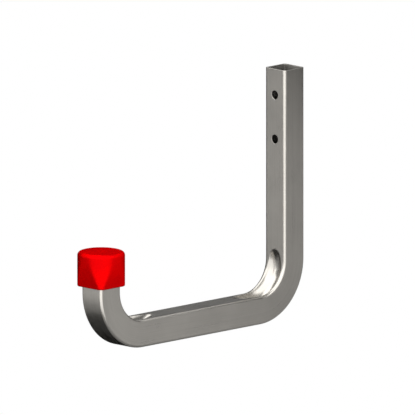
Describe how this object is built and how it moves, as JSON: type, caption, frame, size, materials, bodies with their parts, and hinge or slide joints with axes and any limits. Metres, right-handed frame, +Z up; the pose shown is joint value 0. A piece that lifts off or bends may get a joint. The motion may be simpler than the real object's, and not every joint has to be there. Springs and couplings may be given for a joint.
{
  "type": "garage utility hook",
  "caption": "J-shaped wall hook bent from square steel tube, with screw holes through its tall leg, pressed scoops in its bends and a rounded plastic cap on its tip.",
  "frame": {"origin": "middle of the two wall screw holes, on the face of the tall leg that lies against the wall", "axes": "+Y into the wall, +Z up the wall, X across the width of the tube; the hook reaches out along -Y"},
  "size_m": [0.0426, 0.2648, 0.226],
  "materials": {
    "tube_steel": "satin bright zinc on drawn steel, fine lengthwise grain",
    "cap_plastic": "smooth moulded plastic, semi-gloss"
  },
  "bodies": {
    "root": {"hook_tube": "tube_steel", "end_cap": "cap_plastic"}
  },
  "joints": []
}
